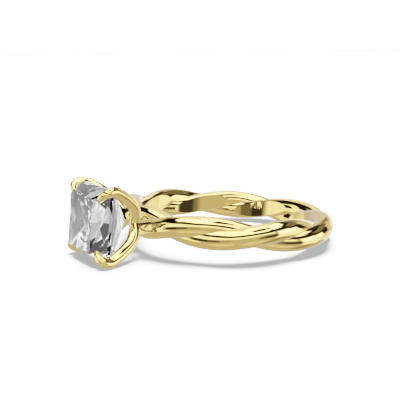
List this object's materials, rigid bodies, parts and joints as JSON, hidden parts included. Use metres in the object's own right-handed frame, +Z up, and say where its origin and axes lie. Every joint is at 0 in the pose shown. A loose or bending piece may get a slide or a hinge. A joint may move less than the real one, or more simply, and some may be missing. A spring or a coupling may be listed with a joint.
{
  "type": "twisted shank ring with a square stone in a four-claw head",
  "caption": "Finger ring of two round gold strands twined round each other, with a square faceted stone held by claws in a trellis head.",
  "frame": {"origin": "on the surface that the ring lies on, under the middle of its bounding box", "axes": "+Z up from the surface, tipped 5.5 degrees from the axis of the finger hole; -X points to the stone, +X to the back of the shank; +Y across the finger hole"},
  "size_m": [0.0264, 0.0216, 0.0073],
  "materials": {
    "gold": "mirror-polished yellow gold",
    "stone": "clear, colourless, faceted and polished"
  },
  "bodies": {
    "root": {"shank_and_claws": "gold", "stone": "stone"}
  },
  "joints": []
}
